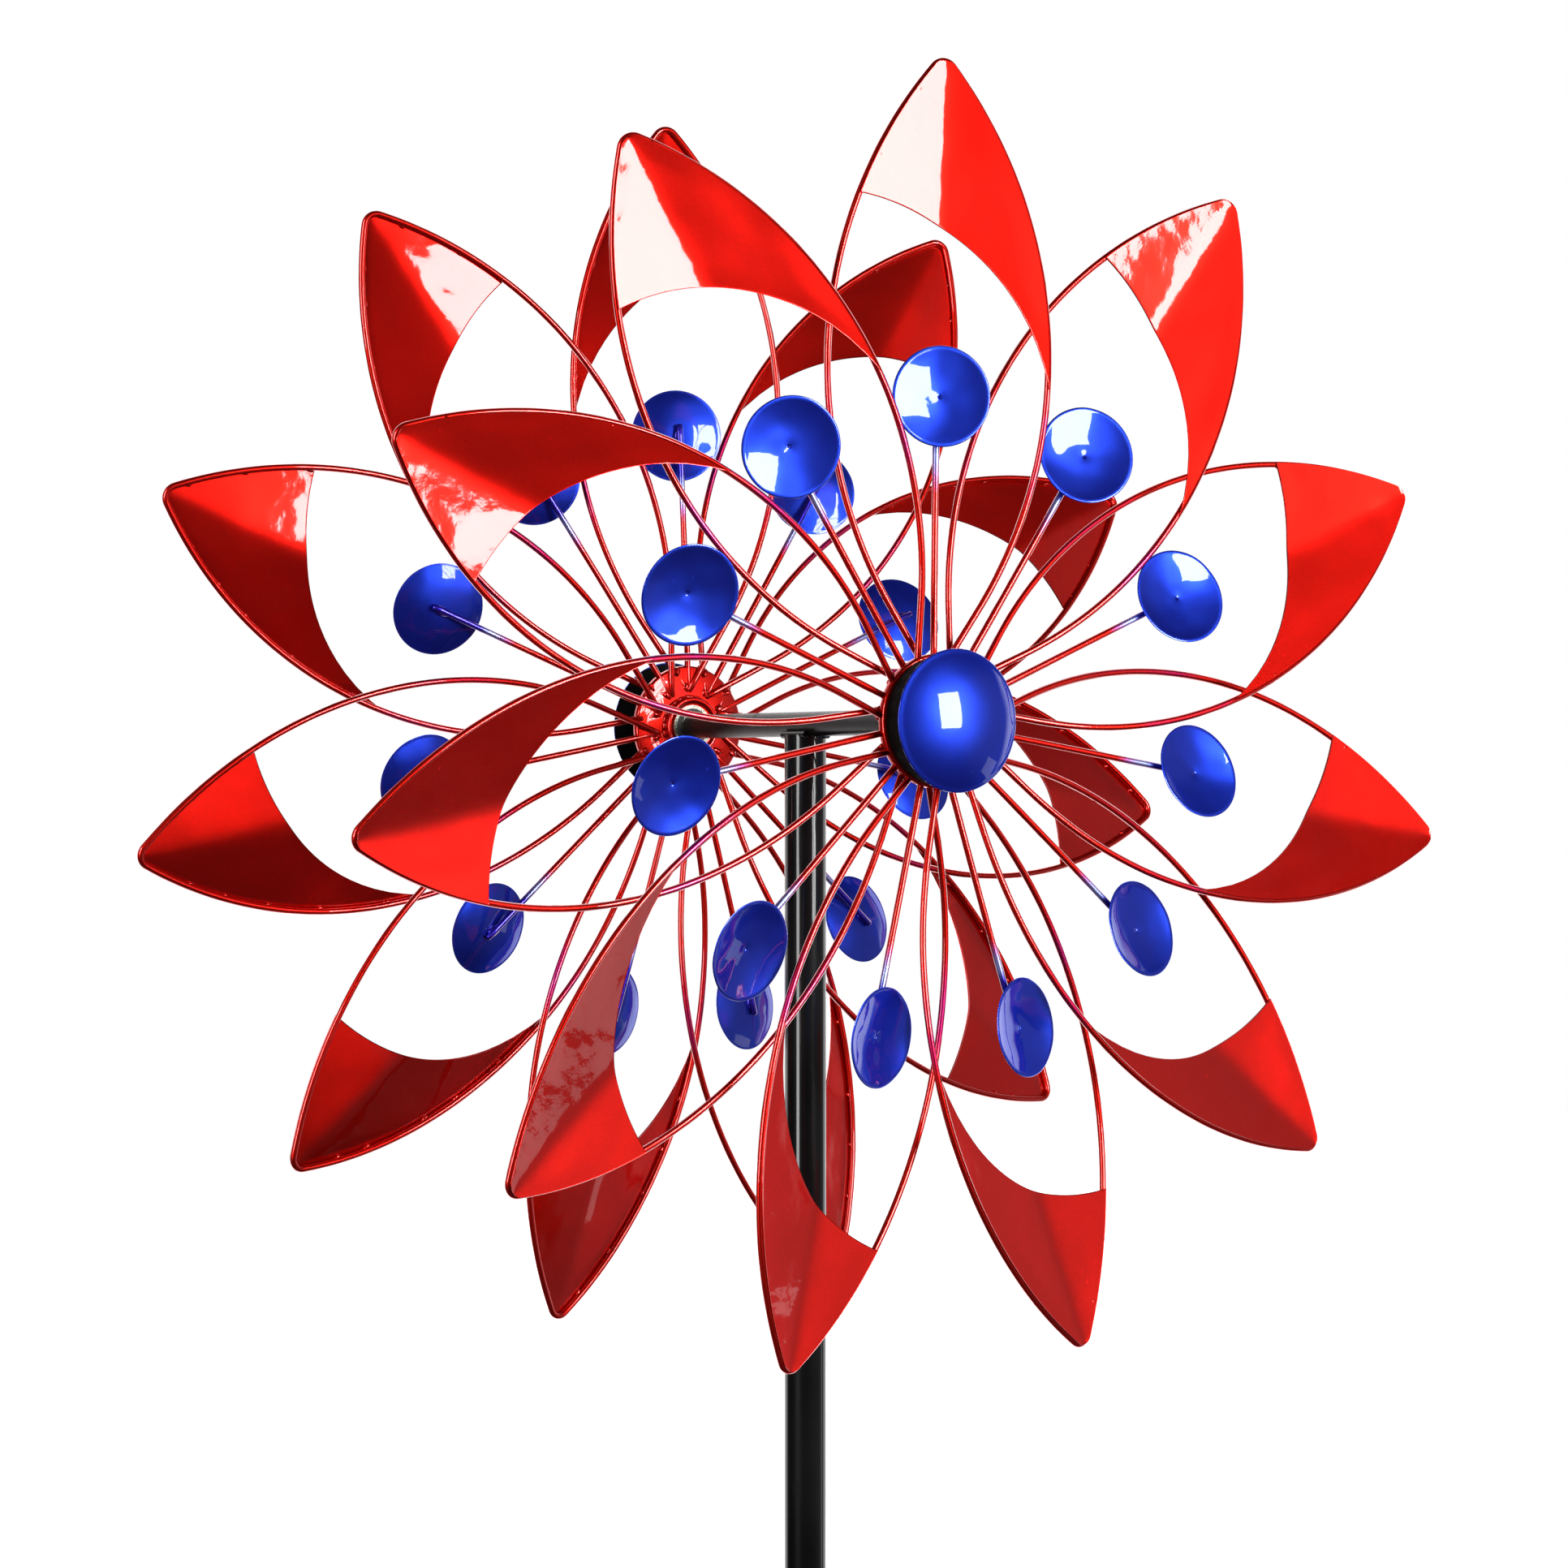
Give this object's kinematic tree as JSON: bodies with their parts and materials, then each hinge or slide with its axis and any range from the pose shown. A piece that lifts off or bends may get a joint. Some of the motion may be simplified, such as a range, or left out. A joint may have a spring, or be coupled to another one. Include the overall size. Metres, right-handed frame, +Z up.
{
  "type": "wind spinner",
  "caption": "Garden wind spinner: petal rotors with dished discs spin on ball bearings at both ends of a horizontal axle on a staked pole.",
  "frame": {"origin": "on the pole's axis at ground level, at the underside of the stake's step bar", "axes": "+Z up along the pole; -Y is the way the front rotor faces, along the axle; +X to the right seen from the front"},
  "size_m": [0.6027, 0.274, 1.9051],
  "materials": {
    "candy_red": "glossy metallic red paint",
    "metallic_blue": "glossy metallic blue paint",
    "gloss_black": "gloss black powder coat",
    "satin_black": "satin black powder coat",
    "black_drum": "black moulded plastic",
    "bearing_steel": "ground steel",
    "seal_rubber": "matt",
    "zinc": "zinc plated"
  },
  "bodies": {
    "stand": {"bearing_inner_races_front": "bearing_steel", "bearing_spacer_front": "bearing_steel", "axle_washer_front": "zinc", "lock_nut_front": "zinc", "bearing_inner_races_back": "bearing_steel", "bearing_spacer_back": "bearing_steel", "axle_washer_back": "zinc", "lock_nut_back": "zinc", "axle": "satin_black", "axle_weld": "gloss_black", "upper_pole": "gloss_black", "lower_pole": "gloss_black", "pole_joint_plug": "satin_black", "pole_screws": "zinc", "stake_bar": "satin_black", "stake_socket": "satin_black", "stake_prongs": "satin_black"},
    "front_rotor": {"petal_wires_front": "candy_red", "blade_front_01": "candy_red", "blade_front_02": "candy_red", "blade_front_03": "candy_red", "blade_front_04": "candy_red", "blade_front_05": "candy_red", "blade_front_06": "candy_red", "blade_front_07": "candy_red", "blade_front_08": "candy_red", "blade_front_09": "candy_red", "blade_front_10": "candy_red", "blade_front_11": "candy_red", "spokes_front": "candy_red", "discs_front": "metallic_blue", "hub_plate_front": "candy_red", "bearing_collar_front": "candy_red", "hub_drum_front": "black_drum", "dome_cap_front": "metallic_blue", "bearing_outer_races_front": "bearing_steel", "bearing_balls_front": "bearing_steel", "bearing_seals_front": "seal_rubber"},
    "back_rotor": {"petal_wires_back": "candy_red", "blade_back_01": "candy_red", "blade_back_02": "candy_red", "blade_back_03": "candy_red", "blade_back_04": "candy_red", "blade_back_05": "candy_red", "blade_back_06": "candy_red", "blade_back_07": "candy_red", "blade_back_08": "candy_red", "blade_back_09": "candy_red", "blade_back_10": "candy_red", "blade_back_11": "candy_red", "spokes_back": "candy_red", "discs_back": "metallic_blue", "hub_plate_back": "candy_red", "bearing_collar_back": "candy_red", "hub_drum_back": "black_drum", "dome_cap_back": "metallic_blue", "bearing_outer_races_back": "bearing_steel", "bearing_balls_back": "bearing_steel", "bearing_seals_back": "seal_rubber"}
  },
  "joints": [
    {"name": "front_spin", "type": "hinge", "parent": "stand", "child": "front_rotor", "pos_m": [0, -0.11, 1.42], "axis": [0, -1, 0], "continuous": true},
    {"name": "back_spin", "type": "hinge", "parent": "stand", "child": "back_rotor", "pos_m": [0, 0.11, 1.42], "axis": [0, 1, 0], "continuous": true}
  ]
}
